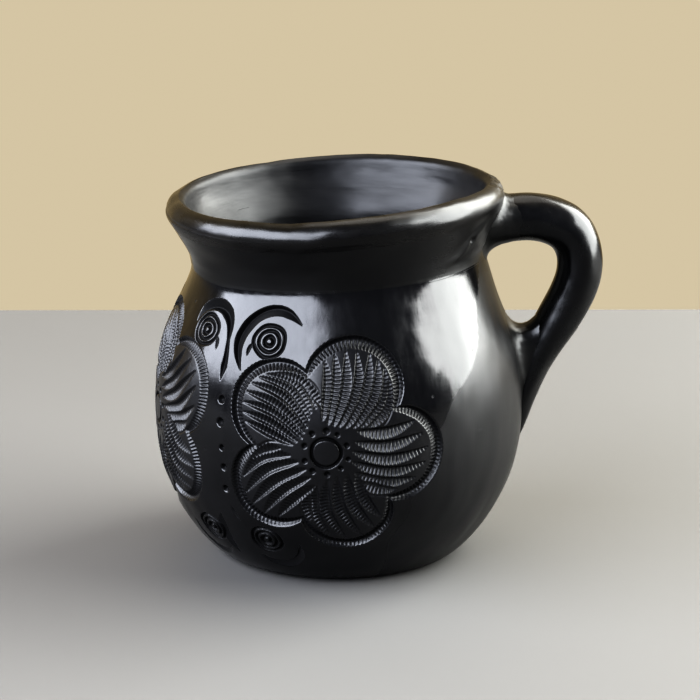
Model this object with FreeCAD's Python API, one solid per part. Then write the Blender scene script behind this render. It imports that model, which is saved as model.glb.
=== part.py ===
# Black clay mug (jarrito), burnished and carved, built up by hand from seven pieces of clay.
# Millimetres. Origin at the centre of the resting face, +Z up, handle towards +X.
import FreeCAD, Part
import os
from math import cos, pi, sin

V = FreeCAD.Vector

# Bowl: one hollowed lump, flat underneath, round belly, drawn in to the neck.
FOOT_RADIUS = 27.0
BELLY_RADIUS = 47.5
BELLY_HEIGHT = 38.0
NECK_RADIUS = 37.7
FLOOR_THICKNESS = 6.0
BELLY_WALL = 5.0
NECK_WALL = 4.8

# The seam between bowl and collar leans: it is lower on the side away from the handle.
SEAM_HEIGHT = 77.0
COLLAR_LEAN = 3.2
CREASE_DEPTH = 1.1
CREASE_HALF_HEIGHT = 1.2
CREASE_FILL_DEPTH = 0.75

# Collar: a flared band standing on the seam. Lip: a round coil laid on its top edge.
COLLAR_FLARE_RADIUS = 42.2
COLLAR_TOP_WALL = 4.2
LIP_COIL_RADIUS = 2.7
LIP_RING_RADIUS = 40.6
LIP_RING_HEIGHT = 14.9

# Handle: one rolled coil, round in section, thinned at the lower end into a flattened tail.
HANDLE_COIL_RADIUS = 6.2
HANDLE_TOP_HEIGHT = 87.1
HANDLE_REACH = 61.8
HANDLE_REACH_HEIGHT = 75.3
HANDLE_TAIL_HEIGHT = 31.0

# Slip that lutes the handle on.
TOP_SLIP_SPREAD = 9.2
FOOT_SLIP_TOP = 60.0
FOOT_SLIP_BOTTOM = 26.5
FOOT_SLIP_HALF_WIDTH = 6.9


def curve(points, start=None, end=None):
    spline = Part.BSplineCurve()
    if start is None:
        spline.interpolate(points)
    else:
        spline.interpolate(Points=points, InitialTangent=start, FinalTangent=end)
    return spline.toShape()


def line(a, b):
    return Part.LineSegment(a, b).toShape()


def turn(edges):
    face = Part.Face(Part.Wire(edges))
    return face.revolve(V(0, 0, 0), V(0, 0, 1), 360)


def lean(shape):
    shape.rotate(V(0, 0, 0), V(0, 1, 0), -COLLAR_LEAN)
    shape.translate(V(0, 0, SEAM_HEIGHT))
    return shape


def bowl_outer_points():
    r = BELLY_RADIUS
    return [
        V(FOOT_RADIUS, 0, 0),
        V(FOOT_RADIUS + 2.9, 0, 0.6),
        V(FOOT_RADIUS + 5.1, 0, 1.8),
        V(FOOT_RADIUS + 7.0, 0, 3.4),
        V(r - 9.5, 0, 8.0),
        V(r - 4.7, 0, 16.0),
        V(r - 1.2, 0, 26.0),
        V(r, 0, BELLY_HEIGHT),
        V(r - 0.8, 0, 50.0),
        V(r - 3.7, 0, 60.0),
        V(r - 7.5, 0, 68.0),
        V(NECK_RADIUS + 0.15, 0, 74.0),
        V(NECK_RADIUS, 0, SEAM_HEIGHT),
        V(NECK_RADIUS, 0, SEAM_HEIGHT + 4.0),
    ]


def bowl_inner_points():
    r = BELLY_RADIUS - BELLY_WALL
    return [
        V(NECK_RADIUS - NECK_WALL, 0, SEAM_HEIGHT + 4.0),
        V(NECK_RADIUS - NECK_WALL, 0, SEAM_HEIGHT),
        V(NECK_RADIUS - NECK_WALL + 0.3, 0, 73.0),
        V(r - 7.0, 0, 66.5),
        V(r - 3.5, 0, 58.5),
        V(r - 0.8, 0, 49.0),
        V(r, 0, BELLY_HEIGHT),
        V(r - 1.2, 0, 27.0),
        V(r - 4.9, 0, 18.0),
        V(r - 11.5, 0, 10.2),
        V(16.0, 0, FLOOR_THICKNESS + 0.3),
        V(0, 0, FLOOR_THICKNESS),
    ]


def below_seam(shape):
    above = Part.makeBox(160, 160, 40, V(-80, -80, 0))
    return shape.cut(lean(above))


def bowl_envelope():
    outer = bowl_outer_points()
    top = V(0, 0, SEAM_HEIGHT + 4.0)
    bottom = V(0, 0, 0)
    edges = [line(bottom, outer[0]), curve(outer), line(outer[-1], top), line(top, bottom)]
    return below_seam(turn(edges))


def bowl_hollow():
    inner = bowl_inner_points()
    top = V(0, 0, SEAM_HEIGHT + 4.0)
    wall = curve(inner, V(0, 0, -1), V(-1, 0, 0))
    return turn([line(top, inner[0]), wall, line(inner[-1], top)])


def collar_envelope():
    outer = [
        V(NECK_RADIUS, 0, 0),
        V(NECK_RADIUS + 0.15, 0, 2.8),
        V(NECK_RADIUS + 1.0, 0, 5.4),
        V(NECK_RADIUS + 2.3, 0, 7.8),
        V(NECK_RADIUS + 3.5, 0, 10.2),
        V(COLLAR_FLARE_RADIUS, 0, 13.0),
    ]
    top = V(0, 0, LIP_RING_HEIGHT)
    crown = V(LIP_RING_RADIUS, 0, LIP_RING_HEIGHT)
    foot = V(0, 0, 0)
    edges = [line(foot, outer[0]), curve(outer), line(outer[-1], crown), line(crown, top), line(top, foot)]
    return turn(edges)


def collar_hollow():
    inner = [
        V(NECK_RADIUS - NECK_WALL, 0, -1.0),
        V(NECK_RADIUS - NECK_WALL, 0, 0),
        V(NECK_RADIUS - NECK_WALL + 0.4, 0, 3.6),
        V(NECK_RADIUS - NECK_WALL + 1.9, 0, 7.6),
        V(COLLAR_FLARE_RADIUS - COLLAR_TOP_WALL - 0.8, 0, 11.6),
        V(COLLAR_FLARE_RADIUS - COLLAR_TOP_WALL, 0, 16.0),
    ]
    bottom = V(0, 0, -1.0)
    top = V(0, 0, 16.0)
    return turn([line(bottom, inner[0]), curve(inner), line(inner[-1], top), line(top, bottom)])


def lip_coil():
    centre = V(LIP_RING_RADIUS, 0, LIP_RING_HEIGHT)
    ring = Part.Wire(Part.Circle(centre, V(0, 1, 0), LIP_COIL_RADIUS).toShape())
    return Part.Face(ring).revolve(V(0, 0, 0), V(0, 0, 1), 360)


def crease(depth, fill):
    # A V-shaped ring round the seam; the fill is the same V, stopped short of the surface.
    tip = V(NECK_RADIUS - depth, 0, 0)
    mouth = fill / depth * CREASE_HALF_HEIGHT
    upper = V(NECK_RADIUS - depth + fill, 0, mouth)
    lower = V(NECK_RADIUS - depth + fill, 0, -mouth)
    return turn([line(tip, upper), line(upper, lower), line(lower, tip)])


def handle_line():
    # Centre of the coil and its radius, from the collar round the finger gap to the tail.
    big = HANDLE_COIL_RADIUS
    x = HANDLE_REACH
    z = HANDLE_REACH_HEIGHT
    return [
        (V(35.0, 0, HANDLE_TOP_HEIGHT - 0.9), big),
        (V(42.0, 0, HANDLE_TOP_HEIGHT - 0.3), big),
        (V(49.2, 0, HANDLE_TOP_HEIGHT), big),
        (V(54.6, 0, HANDLE_TOP_HEIGHT - 1.2), big + 0.2),
        (V(58.6, 0, HANDLE_TOP_HEIGHT - 3.6), big + 0.3),
        (V(61.1, 0, z + 4.3), big + 0.2),
        (V(x, 0, z), big + 0.1),
        (V(61.0, 0, 70.0), big),
        (V(58.6, 0, 64.3), big - 0.2),
        (V(55.4, 0, 58.4), big - 0.5),
        (V(52.2, 0, 52.6), big - 0.9),
        (V(49.6, 0, 47.0), big - 1.3),
        (V(47.6, 0, 41.4), big - 1.8),
        (V(46.4, 0, 36.2), big - 2.5),
        (V(45.6, 0, HANDLE_TAIL_HEIGHT), big - 3.8),
    ]


def ring_on(points, index, radius):
    before = points[max(index - 1, 0)]
    after = points[min(index + 1, len(points) - 1)]
    return Part.Wire(Part.Circle(points[index], after.sub(before), radius).toShape())


def handle_envelope():
    stations = handle_line()
    points = [p for p, r in stations]
    rings = [ring_on(points, i, r) for i, (p, r) in enumerate(stations)]
    return Part.makeLoft(rings, True, False)


def top_slip_envelope():
    # A short flare round the upper end of the coil, widest against the collar.
    wide = TOP_SLIP_SPREAD
    stations = [(34.0, wide), (38.0, wide), (41.5, wide - 1.7), (45.0, wide - 3.0), (49.0, wide - 4.2)]
    rings = []
    for x, radius in stations:
        centre = V(x, 0, HANDLE_TOP_HEIGHT - 0.5)
        rings.append(Part.Wire(Part.Circle(centre, V(1, 0, 0), radius).toShape()))
    return Part.makeLoft(rings, True, False)


def foot_slip_envelope():
    # A low oval swelling of slip on the belly, running down both sides of the tail.
    levels = [
        (FOOT_SLIP_TOP, 43.8, 0.7, 0.40),
        (56.0, 45.2, 1.8, 0.72),
        (51.0, 46.5, 2.4, 0.92),
        (45.0, 47.25, 2.4, 1.0),
        (39.0, 47.5, 2.0, 0.97),
        (34.0, 47.3, 1.4, 0.82),
        (30.0, 46.9, 0.8, 0.60),
        (FOOT_SLIP_BOTTOM, 46.4, 0.2, 0.30),
    ]
    rings = []
    for z, belly, proud, share in levels:
        half_width = FOOT_SLIP_HALF_WIDTH * share
        rings.append(oval_ring(belly - 2.0, z, proud + 2.0, half_width))
    return Part.makeLoft(rings, True, False)


def oval_ring(x, z, half_depth, half_width):
    points = []
    for k in range(16):
        turned = 2 * pi * k / 16
        points.append(V(x + half_depth * cos(turned), half_width * sin(turned), z))
    spline = Part.BSplineCurve()
    spline.interpolate(points, PeriodicFlag=True)
    return Part.Wire(spline.toShape())


def single(shape):
    # Booleans hand back a compound; keep its one solid, the largest if there is a stray scrap.
    solids = sorted(shape.Solids, key=lambda s: s.Volume)
    return solids[-1]


def build():
    bowl_full = bowl_envelope()
    collar_full = lean(collar_envelope())
    lip = lean(lip_coil())
    groove = lean(crease(CREASE_DEPTH + 0.5, CREASE_DEPTH + 1.2))
    handle_full = handle_envelope()

    bowl = bowl_full.cut(bowl_hollow()).cut(groove)
    collar = collar_full.cut(lean(collar_hollow())).cut(lip).cut(groove)
    seam_slip = lean(crease(CREASE_DEPTH + 0.5, CREASE_FILL_DEPTH + 0.5))
    handle = handle_full.cut(bowl_full).cut(collar_full).cut(lip)
    top_slip = top_slip_envelope().cut(handle_full).cut(collar_full).cut(lip).cut(bowl_full)
    foot_slip = foot_slip_envelope().cut(handle_full).cut(bowl_full)

    return {
        "bowl_body": bowl,
        "neck_collar": collar,
        "lip_coil": lip,
        "neck_seam_slip": seam_slip,
        "handle_coil": handle,
        "handle_top_slip": top_slip,
        "handle_foot_slip": foot_slip,
    }


os.makedirs("parts", exist_ok=True)
for name, shape in build().items():
    single(shape).exportStep("parts/" + name + ".step")
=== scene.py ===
import math

import bpy
import numpy as np
from mathutils import Euler, Matrix


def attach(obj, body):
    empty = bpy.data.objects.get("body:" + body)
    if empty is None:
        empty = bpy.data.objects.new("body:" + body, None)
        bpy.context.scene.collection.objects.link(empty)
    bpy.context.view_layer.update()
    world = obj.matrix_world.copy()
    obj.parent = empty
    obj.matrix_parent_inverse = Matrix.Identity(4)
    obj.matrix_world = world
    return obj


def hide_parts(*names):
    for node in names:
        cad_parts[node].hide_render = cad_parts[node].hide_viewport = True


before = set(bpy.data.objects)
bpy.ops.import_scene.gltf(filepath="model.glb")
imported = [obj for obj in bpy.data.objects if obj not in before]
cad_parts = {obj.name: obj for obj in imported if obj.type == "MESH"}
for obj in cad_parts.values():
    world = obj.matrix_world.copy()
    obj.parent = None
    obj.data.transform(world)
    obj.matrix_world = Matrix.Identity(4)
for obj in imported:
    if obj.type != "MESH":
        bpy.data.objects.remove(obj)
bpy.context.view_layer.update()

# A black clay mug: carved bowl, collar, lip, seam, handle and its slip, on a pale floor in soft light.
MM = 0.001
TAU = 2 * math.pi

# Sizes of the mug in millimetres, as in the CAD model. Outlines are radius and height.
SEAM = 77.0  # height of the joint between bowl and collar
LEAN = math.radians(3.2)  # of collar and lip, which are lower away from the handle
NECK = 37.7  # the bowl's radius at the joint
BELLY, WAIST = 47.5, 38.0  # the bowl's greatest radius, and the height of it
FLOOR = 6.0  # height of the floor inside
BOWL_OUT = [(27.0, 0), (29.9, 0.6), (32.1, 1.8), (34.0, 3.4), (38.0, 8), (42.8, 16), (46.3, 26), (BELLY, WAIST),
            (46.7, 50), (43.8, 60), (40.4, 68), (39.0, 71.7), (38.15, 74.1), (37.68, 75.9), (37.55, SEAM),
            (37.6, 78.5)]
BOWL_IN = [(32.9, 81), (32.9, SEAM), (33.2, 73), (35.5, 66.5), (39.0, 58.5), (41.7, 49), (42.5, 38), (41.3, 27),
           (37.6, 18), (31.0, 10.2), (16.0, 6.3), (0.0, FLOOR)]
# Collar and lip share these, in the collar's frame: radius and height over the seam.
RIM_TOP = (39.8, 17.75)
RIM_OUT = [(38.15, -2.9), (37.68, -1.1), (37.55, 0), (37.66, 1.3), (37.98, 3.0), (38.75, 5.3), (39.9, 7.8),
           (41.1, 9.8), (42.05, 11.5), (42.75, 12.8), (43.05, 13.8), (43.0, 14.8), (42.7, 15.7), (42.1, 16.55),
           (41.2, 17.25), RIM_TOP]
RIM_IN = [(32.9, -3.0), (32.9, 0), (33.35, 3.6), (34.8, 7.6), (36.5, 11.0), (37.4, 13.4), (37.9, 15.3),
          (38.5, 16.9), RIM_TOP]
# The middle line of the handle's coil, from the collar to the tail: x, z and radius.
HANDLE = [(37.0, 86.3, 6.2), (42.0, 86.8, 6.2), (49.2, 87.1, 6.2), (54.6, 85.9, 6.4), (58.6, 83.5, 6.5),
          (61.1, 79.6, 6.4), (61.8, 75.3, 6.3), (61.0, 70.0, 6.2), (58.6, 64.3, 6.0), (55.4, 58.4, 5.7),
          (52.2, 52.6, 5.3), (49.6, 47.0, 4.9), (47.6, 41.4, 4.4), (46.4, 36.2, 3.7), (45.6, 31.0, 2.4),
          (45.2, 28.0, 1.2)]
HANDLE_SIDE = math.pi / 2  # azimuth of the handle: azimuths run from the front (-Y) towards it (+X)

# How fine the meshes are.
FINE = 0.21  # spacing on the carved side, in millimetres
INNER_COLS = 240  # points once round the inside
RIM_COLS = 420  # points once round the collar, the lip and the seam
COIL_ROWS, COIL_COLS = 190, 96  # points along the handle and round it

# The carving: azimuth in degrees and height in millimetres of each flower, with its turn in radians, and azimuths
# of the gaps between them.
FLOWERS = [(-3.5, 39.0, 0.0), (-77.0, 40.0, 0.62), (-150.5, 39.5, 0.25)]
GAPS = [-37.2, -113.5]
# Each petal: direction in degrees, how far its centre lies out, and its radius.
PETALS = [(68, 16.5, 12.8), (-3, 16.8, 12.9), (-73, 15.7, 12.4), (-144, 15.4, 12.4), (140, 15.6, 12.5)]
HEART_GROUND = 12.5  # radius of the lowered ground between the petals
EDGE_INSET = 1.5  # from a petal's outline in to the middle of its toothed groove
TOOTH = 0.28  # how deep the toothed tool's nicks are


# ---------------------------------------------------------------- curves and noise

def smooth_line(points, count):
    """A natural cubic spline through the points, as count evenly spaced parameters."""
    p = np.array(points, float)
    t = np.concatenate([[0], np.cumsum(np.linalg.norm(np.diff(p, axis=0), axis=1))])
    return spline_at(p, t, np.linspace(0, t[-1], count))


def spline_at(p, t, where):
    h = np.diff(t)
    n = len(t)
    a = np.eye(n)
    b = np.zeros_like(p)
    for i in range(1, n - 1):
        a[i, i - 1:i + 2] = h[i - 1], 2 * (h[i - 1] + h[i]), h[i]
        b[i] = 6 * ((p[i + 1] - p[i]) / h[i] - (p[i] - p[i - 1]) / h[i - 1])
    m = np.linalg.solve(a, b)
    i = np.clip(np.searchsorted(t, where) - 1, 0, n - 2)
    lo = ((t[i + 1] - where) / h[i])[:, None]
    hi = 1 - lo
    bend = ((lo ** 3 - lo) * m[i] + (hi ** 3 - hi) * m[i + 1]) * (h[i] ** 2)[:, None] / 6
    return lo * p[i] + hi * p[i + 1] + bend


def by_length(points, steps):
    """Points along the spline at the given running lengths' fractions, 0 to 1."""
    fine = smooth_line(points, 1600)
    run = np.concatenate([[0], np.cumsum(np.linalg.norm(np.diff(fine, axis=0), axis=1))])
    where = np.asarray(steps) * run[-1]
    return np.stack([np.interp(where, run, fine[:, k]) for k in range(fine.shape[1])], 1), run[-1]


def ease(x, lo, hi):
    t = np.clip((x - lo) / (hi - lo), 0, 1)
    return t * t * (3 - 2 * t)


def ripple(p, size, seed, squash=(1, 1, 1)):
    """Smooth noise of about -1 to 1 at points p, made of waves about size long."""
    rng = np.random.default_rng(seed)
    total = np.zeros(len(p))
    for _ in range(10):
        d = rng.normal(size=3)
        d *= TAU / (size * rng.uniform(0.7, 1.5)) / np.linalg.norm(d)
        total += np.sin(p @ (d * squash) + rng.uniform(0, TAU))
    return total / 3.2


def rough(p, size, seed):
    return (0.6 * ripple(p, size, seed) + 0.3 * ripple(p, size * 0.45, seed + 1)
            + 0.15 * ripple(p, size * 0.2, seed + 2))


# ---------------------------------------------------------------- hand-made unevenness, shared by every piece

def settle(p):
    """The whole mug is a little out of round, and its lip is not quite level."""
    az = np.arctan2(p[:, 0], -p[:, 1])
    r = np.hypot(p[:, 0], p[:, 1])
    share = ease(p[:, 2], 0, 30) * np.clip(r / 20, 0, 1)
    grow = (0.28 * np.sin(2 * az + 0.9) + 0.18 * np.sin(3 * az + 2.0)) * share
    out = p.copy()
    k = 1 + grow / np.maximum(r, 1)
    out[:, 0] *= k
    out[:, 1] *= k
    lift = 0.32 * np.sin(2 * az + 0.4) + 0.20 * np.sin(3 * az - 0.8) + 0.04 * np.sin(7 * az)
    # The lift fades towards the handle's far bend.
    out[:, 2] += lift * ease(p[:, 2], 80, 93) * ease(-p[:, 0], -50, -44)
    return out


def leaned(p):
    """From the collar's own frame, which stands on the leaning seam, to the mug's."""
    c, s = math.cos(LEAN), math.sin(LEAN)
    out = p.copy()
    out[:, 0] = p[:, 0] - p[:, 2] * s
    out[:, 2] = p[:, 0] * s / c + p[:, 2] * c + SEAM
    return out


def on_wheel(r, az):
    """x and y of a point at that radius and azimuth."""
    return np.stack([r * np.sin(az), -r * np.cos(az)], -1)


def from_handle(a):
    """How far round from the handle's middle an azimuth is, to either side."""
    return np.abs(np.angle(np.exp(1j * (a - HANDLE_SIDE))))


# ---------------------------------------------------------------- meshes

def make_mesh(name, points, faces, material, nodes, masks=None, crisp=()):
    """A piece from points in millimetres and faces as a list or an array of quads. masks are values on the points
    that the clay reads, and crisp are ranges of points whose edges among themselves are sharp."""
    mesh = bpy.data.meshes.new(name)
    verts = np.asarray(points, float) * MM
    if isinstance(faces, list):
        sizes = np.array([len(f) for f in faces])
        flat = np.concatenate([np.asarray(f) for f in faces])
    else:
        sizes = np.full(len(faces), faces.shape[1])
        flat = faces.ravel()
    mesh.vertices.add(len(verts))
    mesh.vertices.foreach_set("co", verts.ravel())
    mesh.loops.add(len(flat))
    mesh.loops.foreach_set("vertex_index", flat.astype(np.int32))
    mesh.polygons.add(len(sizes))
    starts = np.concatenate([[0], np.cumsum(sizes)[:-1]])
    mesh.polygons.foreach_set("loop_start", starts.astype(np.int32))
    mesh.update(calc_edges=True)
    for key, values in (masks or {}).items():
        layer = mesh.attributes.new(key, "FLOAT", "POINT")
        layer.data.foreach_set("value", np.asarray(values, np.float32))
    mesh.polygons.foreach_set("use_smooth", np.full(len(mesh.polygons), True))
    ends = np.zeros(len(mesh.edges) * 2, np.int32)
    mesh.edges.foreach_get("vertices", ends)
    ends = ends.reshape(-1, 2)
    sharp = np.zeros(len(ends), bool)
    for first, last in crisp:
        sharp |= ((ends >= first) & (ends < last)).all(1)
    mesh.edges.foreach_set("use_edge_sharp", sharp)
    mesh.materials.append(material)
    obj = bpy.data.objects.new(name, mesh)
    bpy.context.scene.collection.objects.link(obj)
    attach(obj, "root")
    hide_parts(*nodes)
    return obj


def second_clay(obj, material, share):
    """Gives another clay to the faces whose points mostly have share above a half."""
    corners = np.zeros(len(obj.data.loops), np.int32)
    obj.data.loops.foreach_get("vertex_index", corners)
    starts = np.zeros(len(obj.data.polygons), np.int32)
    obj.data.polygons.foreach_get("loop_start", starts)
    mean = np.add.reduceat(share[corners], starts) / np.diff(np.append(starts, len(corners)))
    index = np.zeros(len(starts), np.int32)
    obj.data.polygons.foreach_get("material_index", index)
    index[mean > 0.5] = len(obj.data.materials)
    obj.data.materials.append(material)
    obj.data.polygons.foreach_set("material_index", index)


def ring_faces(rows, cols, first=0, closed_rows=False):
    """Quads of a sheet of rows x cols points whose columns close on themselves."""
    r = np.arange(rows if closed_rows else rows - 1)[:, None]
    c = np.arange(cols)[None, :]
    a = r * cols + c
    b = r * cols + (c + 1) % cols
    up = ((r + 1) % rows) * cols
    return (np.stack([a, b, up + (c + 1) % cols, up + c], -1) + first).reshape(-1, 4)


def cap(centre, ring):
    """Triangles from one point to a closed ring of points."""
    return [[centre, ring[k], ring[(k + 1) % len(ring)]] for k in range(len(ring))]


# ---------------------------------------------------------------- carving tools

class Skin:
    """The bowl's outside. For each point, height is how far it stands out, and in a cut it is below 0; matte is how
    far it is unburnished; the third share is how far it takes the clay of the deep cuts, which is rougher and has
    painted shade: a darker colour and a weaker reflection."""

    def __init__(self, points):
        self.height = np.zeros(len(points))
        self.matte = np.zeros(len(points))
        self.raw_and_shaded = np.zeros(len(points))
        self.dir = points - np.array([0, 0, WAIST])
        self.dir /= np.linalg.norm(self.dir, axis=1)[:, None]

    def look(self, az, centre, turn=0.0, reach=34.0):
        """The points within reach of a place on the belly, and their flat coordinates round it, in millimetres along
        the surface, turned by turn radians."""
        a = math.radians(az)
        rim = float(np.interp(centre, [z for r, z in BOWL_OUT], [r for r, z in BOWL_OUT]))
        n = np.array([rim * math.sin(a), -rim * math.cos(a), centre - WAIST])
        n /= np.linalg.norm(n)
        e = np.array([math.cos(a), math.sin(a), 0])
        g = np.cross(n, e)
        g = g if g[2] > 0 else -g
        near = np.where(self.dir @ n > math.cos(reach / BELLY))[0]
        d = self.dir[near]
        along = BELLY * np.arccos(np.clip(d @ n, -1, 1))
        u, v = d @ e, d @ g
        size = np.maximum(np.hypot(u, v), 1e-9)
        u, v = along * u / size, along * v / size
        c, s = math.cos(turn), math.sin(turn)
        return near, np.stack([c * u + s * v, c * v - s * u], 1)

    def press(self, index, height, matte, raw_and_shaded=0.0):
        self.height[index] = np.minimum(self.height[index], height)
        self.matte[index] = np.maximum(self.matte[index], matte)
        self.raw_and_shaded[index] = np.maximum(self.raw_and_shaded[index], raw_and_shaded)


def track(line, uv, half):
    """For the points near a line: which they are, the share of the line's length that they are along it, how far to
    its left they lie, and the running length."""
    lo, hi = line.min(0) - half - 0.5, line.max(0) + half + 0.5
    near = np.where(((uv > lo) & (uv < hi)).all(1))[0]
    p = uv[near]
    best = np.full(len(near), 1e9)
    side, run = np.zeros(len(near)), np.zeros(len(near))
    so_far = 0.0
    for a, b in zip(line[:-1], line[1:]):
        d = b - a
        size = math.hypot(*d)
        d = d / max(size, 1e-9)
        q = p - a
        t = np.clip(q @ d, 0, size)
        off = q - t[:, None] * d
        dist = np.hypot(off[:, 0], off[:, 1])
        take = dist < best
        best[take] = dist[take]
        left = d[0] * q[:, 1] - d[1] * q[:, 0]
        side[take] = (np.sign(left) * dist)[take]
        run[take] = (so_far + t)[take]
        so_far += size
    return near, run / so_far, side, run


def gouge(skin, where, uv, line, width, depth, swell, lean=0.0, teeth=0.0, pitch=1.0, matte=1.0, raw_and_shaded=0.0):
    """A cut along a line. swell is its width along the line, as a share of width. lean puts the deepest point off
    the middle, and teeth are the nicks that a toothed tool leaves across the cut, one for each pitch."""
    near, t, side, run = track(line, uv, width / 2)
    shape = np.interp(t, np.linspace(0, 1, len(swell)), swell)
    wave = np.sin(TAU * run / pitch) if teeth else 0.0
    q = side / (width / 2 * shape * (1 + 0.08 * wave) + 1e-6)
    inside = np.abs(q) < 1
    run_up = np.clip(np.where(q > lean, (1 - q) / (1 - lean), (1 + q) / (1 + lean)), 0, 1)
    deep = -depth * np.minimum(shape, 1) ** 0.7 * run_up
    deep = deep + teeth * (wave - 0.7) * np.sin(np.pi * run_up ** 0.75) * np.minimum(shape, 1)
    edge = np.clip((1 - np.abs(q)) * 4, 0, 1)
    skin.press(where[near[inside]], deep[inside], (matte * edge)[inside], raw_and_shaded * edge[inside])


def punch(skin, where, uv, at, radius, depth, matte=1.0):
    """A round pit. Only a deep one gets the painted shade of the deep cuts."""
    d = np.hypot(uv[:, 0] - at[0], uv[:, 1] - at[1]) / radius
    inside = d < 1
    edge = np.clip((1 - d[inside]) * 3, 0, 1)
    skin.press(where[inside], -depth * (1 - d[inside] ** 2), matte * edge, edge if depth > 0.4 else 0)


def ring_cut(skin, where, uv, at, radius, width, depth, wobble=0.0, seed=0, matte=0.8):
    """A groove along a circle that wobbles a little."""
    d = uv - np.array(at)
    ang = np.arctan2(d[:, 1], d[:, 0])
    off = wobble * (np.sin(3 * ang + seed) + 0.6 * np.sin(5 * ang + 2 * seed))
    q = np.abs(np.hypot(d[:, 0], d[:, 1]) - radius - off) / (width / 2)
    inside = q < 1
    edge = np.clip((1 - q[inside]) * 4, 0, 1)
    skin.press(where[inside], -depth * (1 - q[inside] ** 1.3), matte * edge, edge)


def polar(angle, radius):
    a = math.radians(angle)
    return np.array([radius * math.cos(a), radius * math.sin(a)])


def flower(skin, az, centre, turn, seed):
    rng = np.random.default_rng(seed)
    where, uv = skin.look(az, centre, turn)
    # Petals and heart are cut back a little below the burnished ground, and crowned in the middle.
    discs = [(polar(a, d), r) for a, d, r in PETALS] + [(np.zeros(2), HEART_GROUND)]
    deep_inside = np.max([r - 1.7 - np.hypot(*(uv - c).T) for c, r in discs], 0)
    inside = deep_inside > 0
    crown = -0.20 + 0.14 * np.clip(deep_inside[inside] / 9, 0, 1) ** 0.8
    skin.press(where[inside], crown, 0.62 * np.clip(deep_inside[inside] * 2, 0, 1))
    for k in range(len(PETALS)):
        petal_edge(skin, where, uv, k)
    for k in range(len(PETALS)):
        feathers(skin, where, uv, k, rng)
        petal_parting(skin, where, uv, k)
    heart(skin, where, uv, rng)


def meet(k, inset):
    """The outer point where the edge circle of a petal crosses that of the petal before it."""
    a0, d0, r0 = PETALS[k % len(PETALS)]
    a1, d1, r1 = PETALS[(k - 1) % len(PETALS)]
    p, q = polar(a0, d0), polar(a1, d1)
    r0, r1 = r0 - inset, r1 - inset
    gap = np.linalg.norm(q - p)
    along = (r0 * r0 - r1 * r1 + gap * gap) / (2 * gap)
    up = math.sqrt(max(r0 * r0 - along * along, 0))
    mid = p + (q - p) * along / gap
    n = np.array([-(q - p)[1], (q - p)[0]]) / gap
    a, b = mid + n * up, mid - n * up
    return a if np.hypot(*a) > np.hypot(*b) else b


def petal_edge(skin, where, uv, k):
    """The toothed V groove round the outside of one petal, from one cusp to the next."""
    angle, dist, radius = PETALS[k]
    centre = polar(angle, dist)
    first = meet(k, EDGE_INSET) - centre
    last = meet(k + 1, EDGE_INSET) - centre
    a = math.atan2(first[1], first[0])
    b = math.atan2(last[1], last[0])
    while b > a:
        b -= TAU
    turns = np.linspace(a - 0.02, b + 0.06, 56)
    line = centre + (radius - EDGE_INSET) * np.stack([np.cos(turns), np.sin(turns)], 1)
    swell = [0.45, 0.85, 1, 1, 1.05, 1, 1, 1, 0.95, 0.6]
    gouge(skin, where, uv, line, 3.2, 1.3, swell, lean=0.42, teeth=TOOTH, pitch=0.98, matte=0.9)


def petal_parting(skin, where, uv, k):
    """The shallow line between two petals, from the cusp in towards the heart."""
    cusp = meet(k, EDGE_INSET)
    size = np.hypot(*cusp)
    ang = math.degrees(math.atan2(cusp[1], cusp[0]))
    bends = [(0, 0.98), (-6, 0.85), (-9, 0.7), (-9, 0.56)]
    line = np.array([polar(ang + bend, size * share) for bend, share in bends])
    gouge(skin, where, uv, smooth_line(line, 14), 1.3, 0.55, [1, 0.9, 0.6, 0.2], lean=-0.4, matte=0.5)


# How a fan of cuts lies in a petal, in millimetres from the flower's middle: outwards, then to the left. One row is
# one cut.
CLOSE_FAN = [((7.8, 3.8), (15.0, 5.9), (20.8, 9.2)), ((7.4, 2.4), (15.4, 3.6), (22.6, 7.0)),
             ((7.2, 0.9), (15.7, 1.2), (24.0, 4.8)), ((7.4, -0.6), (16.0, -1.2), (25.0, 2.2)),
             ((7.9, -2.2), (16.5, -3.6), (25.8, -0.6)), ((8.6, -3.9), (17.0, -5.9), (25.8, -3.3)),
             ((9.4, -5.6), (17.2, -8.0), (25.0, -5.9)), ((9.4, -7.2), (16.2, -10.1), (23.2, -8.8)),
             ((8.4, -8.4), (12.6, -11.2), (18.4, -11.6))]
WIDE_FAN = [((7.8, 5.4), (14.4, 5.4), (21.6, 8.6)), ((7.2, 2.9), (14.6, 2.1), (23.6, 5.2)),
            ((7.0, 0.3), (14.8, -1.2), (25.2, 1.4)), ((7.1, -2.3), (14.7, -4.5), (24.6, -2.6)),
            ((7.8, -4.8), (14.6, -7.6), (22.4, -6.8)), ((9.2, -7.4), (14.2, -10.3), (17.6, -11.0))]
# For each petal, its fan and the width of the cuts.
FANS = [(CLOSE_FAN[:8], 2.8), (WIDE_FAN, 3.4), (WIDE_FAN, 3.4), (WIDE_FAN, 3.4), (CLOSE_FAN, 2.8)]


def feathers(skin, where, uv, k, rng):
    """The fan of curved toothed cuts in a petal. All of them sweep the same way round."""
    angle, dist, radius = PETALS[k]
    fan, width = FANS[k]
    out = polar(angle, 1.0)
    left = np.array([-out[1], out[0]])
    swell = [0.38, 0.78, 0.98, 1.05, 1.0, 0.86, 0.62, 0.30]
    for row in fan:
        points = np.array(row) + rng.uniform(-0.25, 0.25, (3, 2))
        points = [keep_inside(p, dist, radius - inset) for p, inset in zip(points, (1.0, 3.0, 3.4))]
        line = smooth_line(points, 22)
        line = line[:, :1] * out + line[:, 1:] * left
        gouge(skin, where, uv, line, width, 1.0, swell, lean=0.5, teeth=TOOTH, pitch=0.94, matte=0.85)


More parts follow.
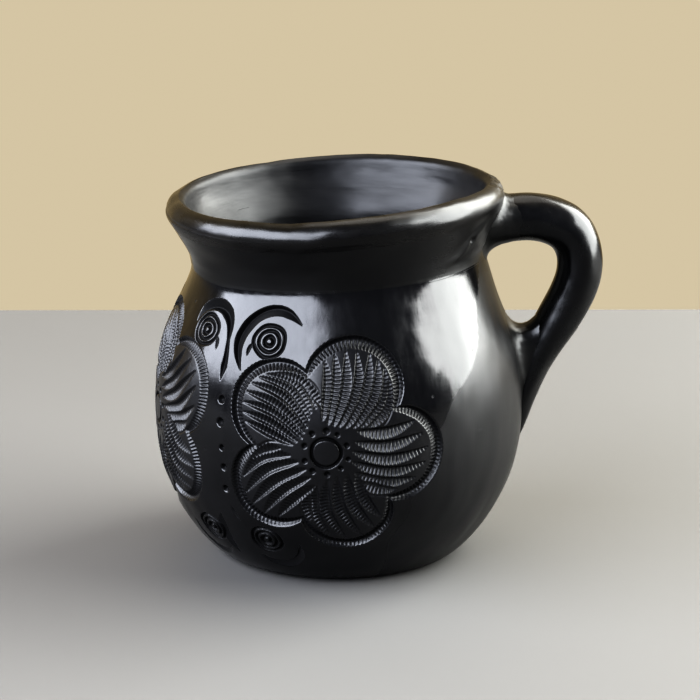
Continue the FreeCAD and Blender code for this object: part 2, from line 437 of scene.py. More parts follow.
def keep_inside(p, dist, radius):
    """The point, or the nearest one to it in a circle whose middle lies dist out."""
    d = p - np.array([dist, 0.0])
    size = np.hypot(*d)
    return p if size < radius else np.array([dist, 0.0]) + d * radius / size


def heart(skin, where, uv, rng):
    """A flat boss in a ring groove, with a ring of punched dots round it."""
    boss, ring, dot_ring, dots = 3.05, 3.6, 5.55, 10
    ring_cut(skin, where, uv, (0, 0), ring, 1.1, 0.85, 0.05, 1.0)
    inside = np.hypot(*uv.T) < boss
    skin.matte[where[inside]] = np.maximum(skin.matte[where[inside]], 0.45)
    for k in range(dots):
        at = polar(21 + 360 / dots * k + rng.uniform(-4, 4), dot_ring + rng.uniform(-0.3, 0.3))
        punch(skin, where, uv, at, 0.88 + rng.uniform(-0.1, 0.15), 0.75)


def eye(skin, where, uv, at, seed):
    """A stamped bull's-eye: three rings."""
    for k, (radius, width, depth, wobble) in enumerate([(1.12, 1.15, 0.75, 0.04), (2.62, 0.95, 0.60, 0.05),
                                                        (3.95, 1.00, 0.60, 0.10)]):
        ring_cut(skin, where, uv, at, radius, width, depth, wobble, seed + k, 1.0)


# The cuts between two flowers, in millimetres from a place on the gap's middle line: aside, then up.
HIGH_EYES, LOW_EYES = 62.0, 16.0  # heights of the two places
RIGHT_COMMA = [(4.0, -5.2), (2.5, -1.8), (1.8, 1.9), (2.9, 5.8), (6.6, 9.7), (11.2, 10.9), (16.2, 9.0)]
RIGHT_SWELL = [0.05, 0.62, 0.95, 1.0, 0.85, 0.75, 0.6, 0.06]
LEFT_COMMA = [(14.6, 5.4), (12.4, 8.9), (8.0, 10.1), (4.2, 8.7), (2.2, 5.4), (1.6, 1.6), (1.1, -2.4), (1.6, -8.4)]
LEFT_SWELL = [0.05, 0.55, 0.8, 0.95, 1.0, 0.6, 0.28, 0.42, 0.6, 0.05]
LOW_COMMA = [(4.6, -9.2), (7.4, -11.8), (11.3, -12.4), (15.6, -9.2), (16.8, -4.4)]
LOW_SWELL = [0.05, 0.7, 1, 0.9, 0.6, 0.05]
LEAF_SWELL = [0.05, 0.8, 1, 0.9, 0.6, 0.05]
NICK_SWELL = [0.1, 1, 0.9, 0.1]
# The column of dots: height, degrees aside and radius.
DOTS = [(49.5, -0.6, 1.1), (43.8, -0.48, 1.2), (37.4, 0.12, 0.85), (32.4, 0.6, 1.0), (26.6, 0.48, 1.0)]


def gap_motif(skin, az):
    """Between two flowers: two eyes under comma cuts, a column of dots, and two more eyes over commas and a leaf."""
    where, uv = skin.look(az, HIGH_EYES)
    for side, comma, swell in ((1, RIGHT_COMMA, RIGHT_SWELL), (-1, LEFT_COMMA, LEFT_SWELL)):
        m = np.array([side, 1.0])
        eye(skin, where, uv, m * (9.6, 3.4), 2.0 + side)
        line = smooth_line(np.array(comma) * m, 40)
        gouge(skin, where, uv, line, 3.4, 1.35, swell, lean=0.45 * side, matte=0.8, raw_and_shaded=1.0)
        nick = smooth_line(np.array([(5.6, 2.2), (5.0, 0.6), (4.9, -1.4)]) * m, 8)
        gouge(skin, where, uv, nick, 1.2, 0.5, NICK_SWELL, matte=0.8, raw_and_shaded=1.0)
    for z, aside, size in DOTS:
        near, spot = skin.look(az + aside, z, reach=6)
        punch(skin, near, spot, (0, 0), size, 1.0)
    where, uv = skin.look(az, LOW_EYES)
    for side in (1, -1):
        m = np.array([side, 1.0])
        eye(skin, where, uv, m * (8.6, -3.2), 5.0 + side)
        comma = smooth_line(np.array(LOW_COMMA) * m, 24)
        gouge(skin, where, uv, comma, 3.0, 0.95, LOW_SWELL, lean=0.5 * side, matte=0.8)
    leaf = smooth_line([(-3.2, 3.4), (-3.9, -0.6), (-3.9, -5.4), (-2.3, -10.4)], 16)
    gouge(skin, where, uv, leaf, 2.9, 0.9, LEAF_SWELL, lean=0.5, matte=0.7)
    nick = smooth_line([(1.2, 6.6), (1.9, 4.4), (2.9, 2.2)], 8)
    gouge(skin, where, uv, nick, 1.3, 0.5, NICK_SWELL, matte=0.6)


# ---------------------------------------------------------------- clay

def fill(tree, node, inputs):
    """Gives each input its number or colour, or links it where it gets another node's output."""
    for key, value in inputs.items():
        if isinstance(value, bpy.types.NodeSocket):
            tree.links.new(value, node.inputs[key])
        else:
            node.inputs[key].default_value = value


def add_node(tree, kind, inputs=None, **settings):
    node = tree.nodes.new(kind)
    for key, value in settings.items():
        setattr(node, key, value)
    fill(tree, node, inputs or {})
    return node


def colour_mix(tree, share, a, b):
    return add_node(tree, "ShaderNodeMix", {0: share, 6: a, 7: b}, data_type="RGBA").outputs[2]


def clay(name, tint, shine, dull, strokes, bump, specular=0.5):
    """Black clay. Its roughness is shine where it was rubbed with a stone, dull where the mask called matte is 1,
    and in between where the one called satin is 1. strokes are the scale and stretch of the rubbed marks, and bump
    is their height in metres."""
    mat = bpy.data.materials.new(name)
    mat.use_nodes = True
    tree = mat.node_tree
    place = add_node(tree, "ShaderNodeTexCoord").outputs["Object"]

    def noise(scale, stretch, detail, roughness):
        spot = add_node(tree, "ShaderNodeMapping", {"Vector": place, "Scale": stretch}).outputs["Vector"]
        inputs = {"Vector": spot, "Scale": scale, "Detail": detail, "Roughness": roughness}
        return add_node(tree, "ShaderNodeTexNoise", inputs).outputs["Fac"]

    def ramp(value, lo, hi, out_lo, out_hi):
        inputs = {"Value": value, "From Min": lo, "From Max": hi, "To Min": out_lo, "To Max": out_hi}
        return add_node(tree, "ShaderNodeMapRange", inputs).outputs["Result"]

    def maths(operation, a, b):
        return add_node(tree, "ShaderNodeMath", {0: a, 1: b}, operation=operation).outputs[0]

    def mix(share, a, b):
        return add_node(tree, "ShaderNodeMix", {0: share, 2: a, 3: b}, data_type="FLOAT").outputs[0]

    def tinted(red, green, blue):
        return (tint[0] * red, tint[1] * green, tint[2] * blue, 1)

    matte = add_node(tree, "ShaderNodeAttribute", attribute_name="matte").outputs["Fac"]
    satin = add_node(tree, "ShaderNodeAttribute", attribute_name="satin").outputs["Fac"]
    broad = noise(60, (1, 1, 1), 4, 0.55)
    grain = noise(900, (1, 1, 1), 5, 0.65)
    rubbed = noise(strokes[0], strokes[1], 3, 0.6)
    across = noise(strokes[0] * 0.8, (0.25, 0.25, 1.6), 3, 0.6)

    # Colour: broad clouds, and paler dust where the clay is matte.
    clouds = colour_mix(tree, ramp(broad, 0.35, 0.68, 0, 1), tinted(0.75, 0.75, 0.75), tinted(1.35, 1.35, 1.35))
    dust = maths("MULTIPLY", matte, ramp(grain, 0.3, 0.75, 0.35, 0.8))
    colour = colour_mix(tree, dust, clouds, tinted(1.8, 1.8, 1.9))

    # Roughness of the polished, the satin and the matte clay.
    polish = maths("ADD", ramp(rubbed, 0.35, 0.7, -0.04, 0.08), ramp(broad, 0.4, 0.7, shine - 0.03, shine + 0.04))
    rubbed_less = mix(satin, polish, ramp(broad, 0.4, 0.7, 0.37, 0.42))
    flat = maths("ADD", ramp(grain, 0.3, 0.7, -0.05, 0.06), dull)

    # Relief: the stone's strokes, or grain where it is matte.
    fine = maths("ADD", maths("MULTIPLY", rubbed, 0.9), maths("MULTIPLY", across, 0.5))
    height = mix(matte, fine, maths("MULTIPLY", grain, 0.9))
    relief = add_node(tree, "ShaderNodeBump", {"Strength": 1.0, "Distance": bump, "Height": height})
    fill(tree, tree.nodes["Principled BSDF"], {
        "Base Color": colour, "Roughness": mix(matte, rubbed_less, flat), "Normal": relief.outputs["Normal"],
        "IOR": 1.5, "Metallic": 0.0, "Specular IOR Level": specular, "Specular Tint": (0.96, 0.97, 1.0, 1.0)})
    return mat


# Name, colour, roughness where rubbed and where matte, strokes, and height of the relief.
belly_clay = clay("belly_clay", (0.0045, 0.0045, 0.005), 0.17, 0.40, (420, (1.0, 1.0, 0.07)), 0.000035)
collar_clay = clay("collar_clay", (0.004, 0.004, 0.0042), 0.18, 0.40, (420, (0.12, 0.12, 1.0)), 0.000035)
lip_clay = clay("lip_clay", (0.005, 0.0047, 0.0045), 0.27, 0.42, (500, (0.2, 0.2, 1.0)), 0.00004)
handle_clay = clay("handle_clay", (0.004, 0.004, 0.0043), 0.23, 0.42, (420, (0.5, 1.0, 0.2)), 0.00004)
inner_clay = clay("inner_clay", (0.0045, 0.0045, 0.005), 0.42, 0.5, (160, (0.25, 0.25, 1.0)), 0.00022, 0.4)
# The deep cuts' clay is rougher, and its darker colour and weaker reflection are painted shade.
shaded_cut_clay = clay("shaded_cut_clay", (0.003, 0.003, 0.0032), 0.3, 0.6, (600, (1.0, 1.0, 0.5)), 0.00005, 0.2)
slip_clay = clay("slip_clay", (0.005, 0.005, 0.005), 0.18, 0.5, (600, (1.0, 1.0, 0.5)), 0.00006)


# ---------------------------------------------------------------- bowl

def steps(lo, hi, fine, coarse, zones):
    """Places from lo to hi, close together inside the zones and wider apart outside them."""
    out = [lo]
    while out[-1] < hi:
        x = out[-1]
        gap = min([max(a - x, x - b, 0) for a, b in zones])
        out.append(x + fine + (coarse - fine) * min(gap / (12 * coarse), 1))
    out = np.array(out)
    return lo + (out - lo) * (hi - lo) / (out[-1] - lo)


def lean_at_top(points, a, z):
    """Towards the seam, points at azimuth a and height z follow its lean."""
    points[:, 2] += np.sin(a) * NECK * math.tan(LEAN) * ease(z, 60, SEAM)


def carve(skin):
    """The flowers, the cuts between them, and a few small pits where the clay is still burnished."""
    for k, (az, height, turn) in enumerate(FLOWERS):
        flower(skin, az, height, turn, 11 + k)
    for az in GAPS:
        gap_motif(skin, az)
    rng = np.random.default_rng(5)
    for _ in range(26):
        near, uv = skin.look(rng.uniform(-200, 110), rng.uniform(8, 72), reach=3)
        if len(near) and skin.matte[near].max() == 0:
            punch(skin, near, uv, (0, 0), rng.uniform(0.35, 0.6), rng.uniform(0.03, 0.07), 0.6)


def bowl_outside():
    """The carved outside: its points row by row from the foot up, their azimuths and heights before carving, the
    columns' azimuths, and the skin."""
    # Columns start behind the handle's tail and run once round. The carved side gets the close ones.
    back = steps(-270, -108, FINE * 1.7, 1.6, [(-192, -108)])
    front = steps(-108, 90, FINE * 1.15, 1.6, [(-108, 35)])
    az = np.radians(np.concatenate([back[:-1], front[:-1]]))
    length = by_length(BOWL_OUT, [0, 1])[1]
    profile = by_length(BOWL_OUT, steps(0, length, FINE, 0.9, [(8, 88)]) / length)[0]
    slope = np.gradient(profile, axis=0)
    slope /= np.linalg.norm(slope, axis=1)[:, None]
    # The top row lies on the seam.
    keep = profile[:, 1] < SEAM - 0.05
    top = np.interp(SEAM, profile[:, 1], profile[:, 0])
    profile, slope = np.vstack([profile[keep], [top, SEAM]]), slope[:keep.sum() + 1]
    a = np.tile(az, len(profile))
    r, z = np.repeat(profile, len(az), axis=0).T
    base = np.column_stack([on_wheel(r, a), z])
    dr, dz = np.repeat(slope, len(az), axis=0).T
    normal = np.column_stack([on_wheel(dz, a), -dr])

    skin = Skin(base)
    carve(skin)
    rubbed = (0.10 * ripple(base, 17, 3) + 0.05 * ripple(base, 8, 4, (1, 1, 0.5))
              + 0.02 * ripple(base, 3.2, 6, (1, 1, 0.25)))
    push = rubbed * ease(z, 1, 8) * ease(-z, -SEAM, -SEAM + 14) + skin.height * ease(z, 2, 5)
    points = base + normal * push[:, None]
    lean_at_top(points, a, z)
    return points, a, z, az, skin


def bowl_inside(turns):
    """The smooth inside's points, row by row from the seam down, without the floor's middle."""
    profile = by_length(BOWL_IN, np.linspace(0, 1, 70))[0]
    profile = profile[profile[:, 1] <= SEAM]
    profile[0, 1] = SEAM
    profile = profile[:-1]
    r, z = np.repeat(profile, len(turns), axis=0).T
    a = np.tile(turns, len(profile))
    below_seam = ease(-z, -SEAM, -SEAM + 8)
    r = r + 0.06 * np.sin(z * 0.9 + 0.4 * np.sin(a)) * ease(z, 8, 20) * below_seam
    points = np.column_stack([on_wheel(r, a), z])
    points[:, :2] *= (1 + 0.004 * ripple(points, 18, 9) * below_seam)[:, None]
    lean_at_top(points, a, z)
    return points


def build_bowl():
    points, a, z, az, skin = bowl_outside()
    turns = np.linspace(0, TAU, INNER_COLS, endpoint=False)
    inside = bowl_inside(turns)
    outer, cols, count = len(points), len(az), len(inside)
    end = outer + count
    everything = np.vstack([points, inside, [[0, 0, 0], [0, 0, FLOOR]]])
    faces = ring_faces(outer // cols, cols).tolist()
    faces += ring_faces(count // INNER_COLS, INNER_COLS, outer).tolist()
    faces += cap(end, list(range(cols))[::-1])
    faces += cap(end + 1, list(range(end - INNER_COLS, end)))
    # The flat top edge under the collar joins the fine outside ring to the coarser inside one.
    top_out, top_in = (outer - cols, outer), (outer, outer + INNER_COLS)
    faces += bridge(range(*top_out), range(*top_in), az, turns)

    matte = np.concatenate([skin.matte, np.full(count, 0.12), [0.8, 0.12]])
    matte[:outer] = np.maximum(matte[:outer], 0.8 * ease(-z, -3, -0.5))
    # Towards the handle the stone was used less: there the clay is satin, up to an edge that its strokes left.
    edge = np.interp(z, [0, 40, 44, 52, 58, 64, 77], [16, 26, 32.5, 41.5, 48, 56, 70]) + 1.5 * np.sin(z * 0.35)
    degrees = np.degrees(a) % 360
    satin = ease(degrees, edge - 0.9, edge + 0.9) * ease(-degrees, -232, -215)
    rest = np.zeros(count + 2)
    bowl = make_mesh("carved_bowl", settle(everything), faces, belly_clay, ["bowl_body"],
                     {"matte": matte, "satin": np.append(satin, rest)}, [top_out, top_in])
    # The deep cuts take another clay, rougher and with painted shade: a darker colour and a weaker reflection.
    second_clay(bowl, shaded_cut_clay, np.append(skin.raw_and_shaded, rest))
    is_inside = np.zeros(len(everything))
    is_inside[outer:end] = 1
    is_inside[-1] = 1
    second_clay(bowl, inner_clay, is_inside)


def bridge(outer, inner, az_out, az_in):
    """Faces between two rings with different numbers of points."""
    o = sorted((v % TAU, k) for v, k in zip(az_out, outer))
    i = sorted((v % TAU, k) for v, k in zip(az_in, inner))
    faces = []
    x = y = 0
    while x < len(o) or y < len(i):
        next_o = o[(x + 1) % len(o)][0] + (TAU if x + 1 >= len(o) else 0)
        next_i = i[(y + 1) % len(i)][0] + (TAU if y + 1 >= len(i) else 0)
        a, b = o[x % len(o)][1], i[y % len(i)][1]
        if y >= len(i) or (x < len(o) and next_o <= next_i):
            faces.append([a, o[(x + 1) % len(o)][1], b])
            x += 1
        else:
            faces.append([a, i[(y + 1) % len(i)][1], b])
            y += 1
    return faces


# ---------------------------------------------------------------- collar, lip and seam

def turned(name, loop, shape, material, nodes, edges=()):
    """A closed ring of clay. loop is its section (radius, height) in the collar's frame, shape says how far each
    point is pushed out and how matte it is, and edges are the rows of the loop that stay sharp."""
    az = np.linspace(0, TAU, RIM_COLS, endpoint=False)
    r, h = np.repeat(loop, RIM_COLS, axis=0).T
    a = np.tile(az, len(loop))
    base = np.column_stack([on_wheel(r, a), h])
    edge = np.roll(loop, -1, 0) - np.roll(loop, 1, 0)
    edge /= np.linalg.norm(edge, axis=1)[:, None] + 1e-9
    dr, dh = np.repeat(edge, RIM_COLS, axis=0).T
    normal = np.column_stack([on_wheel(dh, a), -dr])
    push, mask = shape(base, a, h, r)
    points = settle(leaned(base + normal * push[:, None]))
    faces = ring_faces(len(loop), RIM_COLS, closed_rows=True)
    masks = {"matte": np.clip(mask, 0, 1), "satin": 0.85 * ease(np.sin(a), 0.55, 0.85)}
    crisp = [(k * RIM_COLS, (k + 1) * RIM_COLS) for k in edges]
    ring = make_mesh(name, points, faces, material, nodes, masks, crisp)
    second_clay(ring, inner_clay, np.where(r < inner_wall(h), 1.0, 0.0))


def inner_wall(h):
    """The middle of the wall: nearer the axis than this is the inside."""
    return np.interp(h, [0, 4, 8, 12, 15, RIM_TOP[1]], [35.3, 35.6, 37.4, 39.7, 40.3, RIM_TOP[0]])


def rim_push(base, a, h):
    """How far collar and lip stand out on their outside, and how matte they are: soft bands, unevenness, and the
    smear from the handle."""
    bands = 0.07 * np.sin(h * 1.15 - 0.6 + 0.25 * np.sin(2 * a)) * (0.7 + 0.3 * np.cos(a))
    outside = ease(h, 1.3, 4.0)
    push = bands + 0.10 * ripple(base, 15, 21) + 0.03 * ripple(base, 4, 22, (0.4, 0.4, 1))
    # Clay drawn down from the handle on both sides of it: a raised wedge with a ridge along its edge.
    side = from_handle(a)
    reach = math.radians(22) + math.radians(27) * (1 - h / 13)
    wedge = ease(reach - side, -0.05, 0.10) * ease(-h, -13.5, -11)
    ridge = np.exp(-((side - reach + 0.03) / 0.06) ** 2) * ease(-h, -12.5, -9)
    smear = 0.38 * wedge + 0.22 * ridge + 0.06 * wedge * rough(base, 7, 31)
    # One pit in the collar.
    pit_az, pit_h, pit_r = math.radians(58), 6.6, 39
    pit = np.exp(-(((a - pit_az) * pit_r) ** 2 + (h - pit_h) ** 2) / 0.5)
    return outside * (push + smear - 0.9 * pit), np.clip(0.2 * wedge * outside + pit, 0, 1)


def inner_push(base, h):
    """How far their inside stands in: only unevenness."""
    return ease(h, 0, 4) * (0.10 * ripple(base, 18, 23) + 0.05 * ripple(base, 7, 24, (0.5, 0.5, 1)))


def collar_shape(base, a, h, r):
    out, mask = rim_push(base, a, h)
    outside = r > inner_wall(h)
    # Where the lip takes over, the collar sinks into it.
    sink = np.where(outside, 0.5 * ease(h, 10.6, 13.2), 0.5 * ease(h, 9.8, 12.2))
    push = np.where(outside, out, inner_push(base, h)) - sink
    return push * ease(h, 0, 0.01), np.where(outside, mask, 0.0)


def build_collar():
    out = by_length(RIM_OUT[2:11], np.linspace(0, 1, 70))[0]
    inn = by_length(RIM_IN[1:7], np.linspace(0, 1, 50))[0][::-1]
    foot = np.column_stack([np.linspace(inn[-1, 0], out[0, 0], 8)[1:-1], np.zeros(6)])
    loop = np.vstack([out, inn, foot])
    turned("flared_collar", loop, collar_shape, collar_clay, ["neck_collar"],
           (0, len(out) + len(inn) - 1))


def lip_shape(base, a, h, r):
    out, mask = rim_push(base, a, h)
    outside = r > inner_wall(h)
    push = np.where(outside, out, inner_push(base, h))
    free = ease(h, 11.5, 14.0)
    push = push + free * (0.07 * ripple(base, 16, 41) + 0.03 * ripple(base, 6, 42) + 0.10 * np.sin(3 * a + 0.5))
    # The roll was pressed down by the fingertips now and then.
    push = push - free * 0.05 * np.clip(np.sin(9 * a + 0.8 * np.sin(2 * a)), 0, 1) ** 3
    # Near the handle its clay is torn and patched.
    patches = rough(base, 3.6, 51)
    torn = ease(-from_handle(a), -0.32, -0.12) * outside * free
    push = push + torn * (0.22 * patches + 0.05)
    # A crease runs under the roll, deepest away from the handle.
    away = -np.sin(a)
    crease = np.exp(-((h - 14.2 - 0.5 * np.sin(3 * a)) / 0.22) ** 2) * outside
    crease = crease * (0.25 + 0.75 * ease(away, 0.45, 0.95)) * ease(away, 0.1, 0.6)
    push = push - 0.20 * crease
    return push, np.clip(mask + 0.5 * torn * ease(patches, 0, 0.5) + 0.5 * crease, 0, 1)


def build_lip():
    out = by_length(RIM_OUT[2:], np.linspace(0, 1, 400))[0]
    inn = by_length(RIM_IN[1:], np.linspace(0, 1, 400))[0][::-1]
    out = out[out[:, 1] > 8.6]
    inn = inn[inn[:, 1] > 7.8]
    # Feathered at its lower edges, where it was smoothed into the collar.
    out[:, 0] += 0.012 - 0.14 * ease(-out[:, 1], -11.2, -8.6)
    inn[:, 0] += -0.012 + 0.14 * ease(-inn[:, 1], -10.4, -7.8)
    buried = np.array([(36.4, 9.2), (37.6, 11.4), (38.8, 11.6), (39.5, 10.2)])
    loop = by_length(np.vstack([out, inn[1:], buried, out[:1]]), np.linspace(0, 1, 141))[0][:-1]
    turned("rolled_lip", loop, lip_shape, lip_clay, ["lip_coil"])


def build_seam():
    """Slip worked into the joint and rubbed down nearly flush."""
    half = 1.1  # of the ring's height
    face = by_length(RIM_OUT[:5], np.linspace(0, 1, 200))[0]
    face = face[(face[:, 1] > -half) & (face[:, 1] < half)][::6]
    face[:, 0] += 0.015 - 0.035 * (face[:, 1] / half) ** 2
    back = np.array([(37.0, 1.0), (36.4, 0.0), (37.0, -1.0)])

    def shape(base, a, h, r):
        # Under the joint it follows the bowl, which doesn't lean.
        return np.minimum(h, 0) * math.sin(LEAN) * np.sin(a), np.full(len(base), 0.1)

    turned("seam_slip_ring", np.vstack([face, back]), shape, slip_clay, ["neck_seam_slip"])


# ---------------------------------------------------------------- handle

def handle_frames():
    """The coil's middle line (x, z, radius), its outward side, and its half thickness and half width."""
    line = smooth_line(HANDLE, COIL_ROWS)
    d = np.gradient(line[:, :2], axis=0)
    d /= np.linalg.norm(d, axis=1)[:, None]
    t = np.linspace(0, 1, COIL_ROWS)
    # Wider than thick along the lower arm, where it was pressed and stroked down.
    pressed = ease(t, 0.55, 0.8)
    thick = line[:, 2] * (1 - 0.06 * ease(t, 0.1, 0.3) - 0.05 * pressed)
    wide = line[:, 2] * (1.02 + 0.12 * pressed)
    return line, np.stack([-d[:, 1], d[:, 0]], 1), thick, wide


def on_coil(frames, k, phi, inset=0.0):
    """Points on the coil: phi 0 is the outer side of the bend, and a quarter turn is towards -Y."""
    line, n, thick, wide = frames
    t = (thick[k] - inset) * np.cos(phi)
    return np.stack([line[k, 0] + n[k, 0] * t, -(wide[k] - inset) * np.sin(phi), line[k, 1] + n[k, 1] * t], -1)


def build_handle():
    frames = handle_frames()
    line, n = frames[:2]
    k = np.repeat(np.arange(COIL_ROWS), COIL_COLS)
    phi = np.tile(np.linspace(0, TAU, COIL_COLS, endpoint=False), COIL_ROWS)
    t = k / (COIL_ROWS - 1)
    base = on_coil(frames, k, phi)
    normal = np.column_stack([n[k, 0] * np.cos(phi), -np.sin(phi), n[k, 1] * np.cos(phi)])
    push = 0.14 * ripple(base, 18, 71) + 0.03 * ripple(base, 6, 72)
    # Long flats from the burnishing stone.
    push -= 0.05 * np.cos(7 * phi + 1.2 * np.sin(3 * t * TAU)) * ease(t, 0.05, 0.2)
    torn = ease(-t, -0.10, -0.02) * ease(rough(base, 4, 73), 0.1, 0.6)
    push += 0.25 * torn
    ends = [[line[0, 0], 0, line[0, 1]], [line[-1, 0], 0, line[-1, 1]]]
    points = settle(kept_in_wall(np.vstack([base + normal * push[:, None], ends])))
    faces = ring_faces(COIL_ROWS, COIL_COLS).tolist()
    count = len(base)
    faces += cap(count, list(range(COIL_COLS))[::-1])
    faces += cap(count + 1, list(range(count - COIL_COLS, count)))
    matte = np.concatenate([0.10 + 0.5 * torn, [0, 0]])
    make_mesh("coil_handle", points, faces, handle_clay, ["handle_coil"], {"matte": matte})


def neck_surface(y, z, side=RIM_OUT):
    """x of the neck's and lip's outside (or, with RIM_IN, their inside) on the handle's side, for points y, z."""
    prof = by_length(side, np.linspace(0, 1, 300))[0]
    c, s = math.cos(LEAN), math.sin(LEAN)
    x = np.full(np.shape(y), 38.0)
    for _ in range(12):
        h = -x * s + (z - SEAM) * c
        r = np.interp(h, prof[:, 1], prof[:, 0])
        x = 0.5 * x + 0.5 * (np.sqrt(np.maximum(r * r - y * y, 1.0)) * c - h * s)
    return x


def kept_in_wall(p):
    """Nothing of the handle's root may come through to the inside of the mug."""
    low = neck_surface(p[:, 1], p[:, 2], RIM_IN) + 0.8
    return np.column_stack([np.where(p[:, 2] > SEAM, np.maximum(p[:, 0], low), p[:, 0]), p[:, 1:]])


def belly_surface(y, z):
    """x of the bowl's outside on the handle's side, for points y, z."""
    low = by_length(BOWL_OUT, np.linspace(0, 1, 400))[0]
    r = np.interp(z, low[:, 1], low[:, 0])
    return np.sqrt(np.maximum(r * r - y * y, 1.0))


def unit(v):
    return v / (np.linalg.norm(v, axis=1)[:, None] + 1e-9)


def fillet(name, inner, corner, outer, core, ripples, nodes):
    """A skirt of slip from inner, a ring on the coil, by way of corner to outer, a ring on the wall. Its back is
    buried: towards the coil's core, in the corner and in the wall."""
    rows, cols = 26, len(inner)
    t = np.linspace(0, 1, rows)[:, None, None]

    def bend(a, b, c):
        return (1 - t) ** 2 * a + 2 * t * (1 - t) * b + t ** 2 * c

    front = bend(inner, corner, outer).reshape(-1, 3)
    back = bend(inner + 1.2 * unit(core - inner), corner + 1.8 * unit(corner - (inner + outer) / 2),
                outer - [1.2, 0, 0])[::-1].reshape(-1, 3)
    swell = np.repeat(np.sin(np.linspace(0, np.pi, rows)) ** 0.7, cols)
    front = front + unit(front - corner.mean(0)) * (swell * ripples(front))[:, None]
    points = settle(kept_in_wall(np.vstack([front, back])))
    faces = ring_faces(2 * rows, cols, closed_rows=True)
    # At the coil it shines like the coil, and where it runs out it is satin like the wall.
    run_out = np.linspace(0, 1, rows) ** 0.5
    satin = np.repeat(np.concatenate([run_out, run_out[::-1]]), cols)
    masks = {"matte": np.full(len(points), 0.15), "satin": satin}
    make_mesh(name, points, faces, slip_clay, nodes, masks)


def build_top_slip():
    """Slip dragged from the coil's upper end over the lip and down the collar."""
    root, start, cols = 86.0, 50.5, 120  # height of the coil's root, and x where the slip starts on the coil
    phi = np.linspace(0, TAU, cols, endpoint=False)
    frames = handle_frames()
    line = frames[0]
    k = int(np.argmin(np.abs(line[:60, 0] - start)))
    inner = on_coil(frames, np.full(cols, k), -phi, 0.4)
    up = np.cos(phi)
    spread = 12.2 - 4.2 * np.clip(up, 0, 1) - 2.9 * np.clip(-up, 0, 1) + 0.6 * np.sin(2 * phi + 0.5)
    y, z = spread * np.sin(phi) * 1.08, np.minimum(root + spread * up, 93.6)
    outer = np.stack([neck_surface(y, z) - 0.1, y, z], 1)
    y, z = inner[:, 1] * 1.07, np.minimum(line[k, 1] - 0.3 + (inner[:, 2] - line[k, 1]) * 1.07, 93.0)
    corner = np.stack([neck_surface(y, z) + 0.35, y, z], 1)
    core = np.tile([line[k, 0], 0, line[k, 1]], (cols, 1))
    fillet("handle_top_smear", inner, corner, outer, core, lambda p: 0.13 * rough(p, 6, 81), ["handle_top_slip"])


# Down one side of the handle's foot, from the crotch to below the tip: height of the coil's middle, place round it,
# height of the crease, and how far aside and at what height the slip ends on the belly.
FOOT = [(60.9, 3.14, 53.6, 0.0, 65.0), (60.2, 2.72, 53.6, 4.4, 64.0), (57.6, 2.18, 53.8, 8.0, 60.4),
        (53.0, 1.82, 52.0, 9.3, 54.4), (48.0, 1.68, 48.2, 9.2, 48.0), (42.5, 1.55, 43.0, 8.4, 41.8),
        (37.0, 1.35, 37.2, 6.8, 35.0), (32.6, 0.90, 32.4, 4.4, 29.8), (30.6, 0.0, 29.6, 0.0, 27.0)]


def build_foot_slip():
    """Slip along both sides of the handle's tail, joined in the crotch above and under the tip."""
    frames = handle_frames()
    line = frames[0]
    middle, phi, crease, aside, end = smooth_line(FOOT, 81).T
    low = np.arange(60, COIL_ROWS)
    k = low[np.argmin(np.abs(line[low, 1][None] - middle[:, None]), 1)]
    rings = []
    for side in (1, -1):
        inner = on_coil(frames, k, side * phi, 0.35)
        y = inner[:, 1] * 0.93
        corner = np.stack([belly_surface(y, crease) + 0.15, y, crease], 1)
        y = -side * aside
        outer = np.stack([belly_surface(y, end) - 0.12, y, end], 1)
        core = np.stack([line[k, 0], np.zeros(len(k)), line[k, 1]], 1)
        rings.append(np.stack([inner, corner, outer, core], 1))
    loop = np.vstack([rings[0], rings[1][-2:0:-1]])
    inner, corner, outer, core = (loop[:, part] for part in range(4))
    fillet("handle_foot_smear", inner, corner, outer, core, lambda p: 0.06 * rough(p, 5, 91), ["handle_foot_slip"])


build_bowl()
build_collar()
build_lip()
build_seam()
build_handle()
build_top_slip()
build_foot_slip()


# ---------------------------------------------------------------- table, room, lights and camera

def pale_floor():
    """Almost one colour, clouded a little by a second."""
    mat = bpy.data.materials.new("pale_floor")
    mat.use_nodes = True
    tree = mat.node_tree
    place = add_node(tree, "ShaderNodeTexCoord").outputs["Object"]
    patch = add_node(tree, "ShaderNodeTexNoise", {"Vector": place, "Scale": 6, "Detail": 3}).outputs["Fac"]
    colour = colour_mix(tree, patch, (0.112, 0.111, 0.110, 1), (0.100, 0.099, 0.098, 1))
    fill(tree, tree.nodes["Principled BSDF"], {"Base Color": colour, "Roughness": 0.7})
    return mat


def build_stage():
    # The table's top and its far edge, which turns down: y and z in metres.
    section = [(-0.8, 0), (0.245, 0), (0.250, -0.004), (0.250, -0.06)]
    points = [(x, y, z) for y, z in section for x in (-0.9, 0.9)]
    faces = [(2 * k, 2 * k + 1, 2 * k + 3, 2 * k + 2) for k in range(len(section) - 1)]
    mesh = bpy.data.meshes.new("table")
    mesh.from_pydata(points, [], faces)
    mesh.materials.append(pale_floor())
    table = bpy.data.objects.new("table", mesh)
    bpy.context.scene.collection.objects.link(table)


def area(name, azimuth, elevation, distance, width, height, power, colour, roll=0.0):
    """A soft panel that faces a point 50 mm over the floor from that direction, in degrees; azimuth is from the
    front towards the handle. Distance and size are in metres."""
    light = bpy.data.lights.new(name, "AREA")
    light.shape = "RECTANGLE"
    light.size = width
    light.size_y = height
    light.energy = power
    light.color = colour
    obj = bpy.data.objects.new(name, light)
    a, e = math.radians(azimuth), math.radians(elevation)
    out = distance * math.cos(e)
    obj.location = (out * math.sin(a), -out * math.cos(a), 0.05 + distance * math.sin(e))
    turn = Euler((math.pi / 2 - e, 0, a), "XYZ").to_matrix() @ Matrix.Rotation(math.radians(roll), 3, "Z")
    obj.rotation_euler = turn.to_euler()
    obj.visible_camera = False
    bpy.context.scene.collection.objects.link(obj)


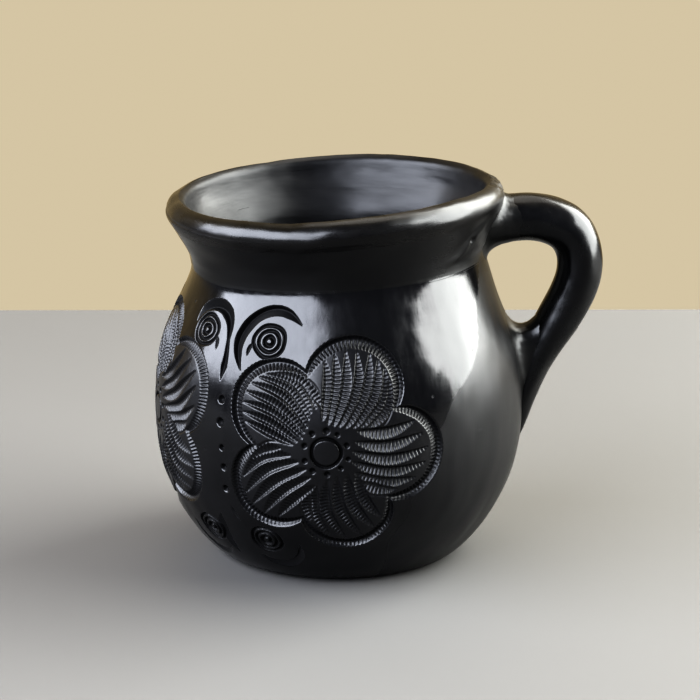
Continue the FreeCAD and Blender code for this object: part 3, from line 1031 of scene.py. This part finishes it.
def build_lights():
    area("window_left", -60, 28, 0.75, 1.25, 0.56, 19.5, (0.90, 0.93, 1.0))
    area("softbox_right", 98, 29, 0.75, 0.99, 0.77, 25, (0.99, 1.0, 0.96), 24)
    area("overhead", 160, 72, 1.2, 0.9, 0.9, 4, (1.0, 0.98, 0.95))


def build_room():
    """Pale to the eye, and for reflections a warm wall and ceiling up behind the mug in an otherwise dim room."""
    world = bpy.data.worlds.new("room")
    bpy.context.scene.world = world
    world.use_nodes = True
    tree = world.node_tree
    tree.nodes.clear()
    place = add_node(tree, "ShaderNodeTexCoord").outputs["Generated"]
    facing = add_node(tree, "ShaderNodeVectorMath", {0: place, 1: (0, 0.8, 0.6)}, operation="DOT_PRODUCT")
    behind = add_node(tree, "ShaderNodeMapRange",
                      {"Value": facing.outputs["Value"], "From Min": 0.2, "From Max": 0.6},
                      interpolation_type="SMOOTHSTEP")
    colour = colour_mix(tree, behind.outputs["Result"], (0.26, 0.27, 0.30, 1), (0.46, 0.37, 0.22, 1))
    reflected = add_node(tree, "ShaderNodeBackground", {0: colour})
    seen = add_node(tree, "ShaderNodeBackground", {0: (0.435, 0.385, 0.290, 1)})
    path = add_node(tree, "ShaderNodeLightPath")
    choose = add_node(tree, "ShaderNodeMixShader",
                      {0: path.outputs["Is Camera Ray"], 1: reflected.outputs[0], 2: seen.outputs[0]})
    add_node(tree, "ShaderNodeOutputWorld", {0: choose.outputs[0]})


def build_camera():
    tilt, pan = 15.15, -0.254  # in degrees, down and to the side
    cam = bpy.data.cameras.new("camera")
    cam.sensor_width = 36
    cam.lens = 145.2
    cam.dof.use_dof = False
    obj = bpy.data.objects.new("camera", cam)
    obj.location = (0, -0.700, 0.2415)
    obj.rotation_euler = Euler((math.radians(90 - tilt), 0, math.radians(pan)), "XYZ")
    bpy.context.scene.collection.objects.link(obj)
    bpy.context.scene.camera = obj


build_stage()
build_lights()
build_room()
build_camera()
bpy.context.scene.view_settings.view_transform = "Standard"
bpy.context.scene.view_settings.look = "Very High Contrast"
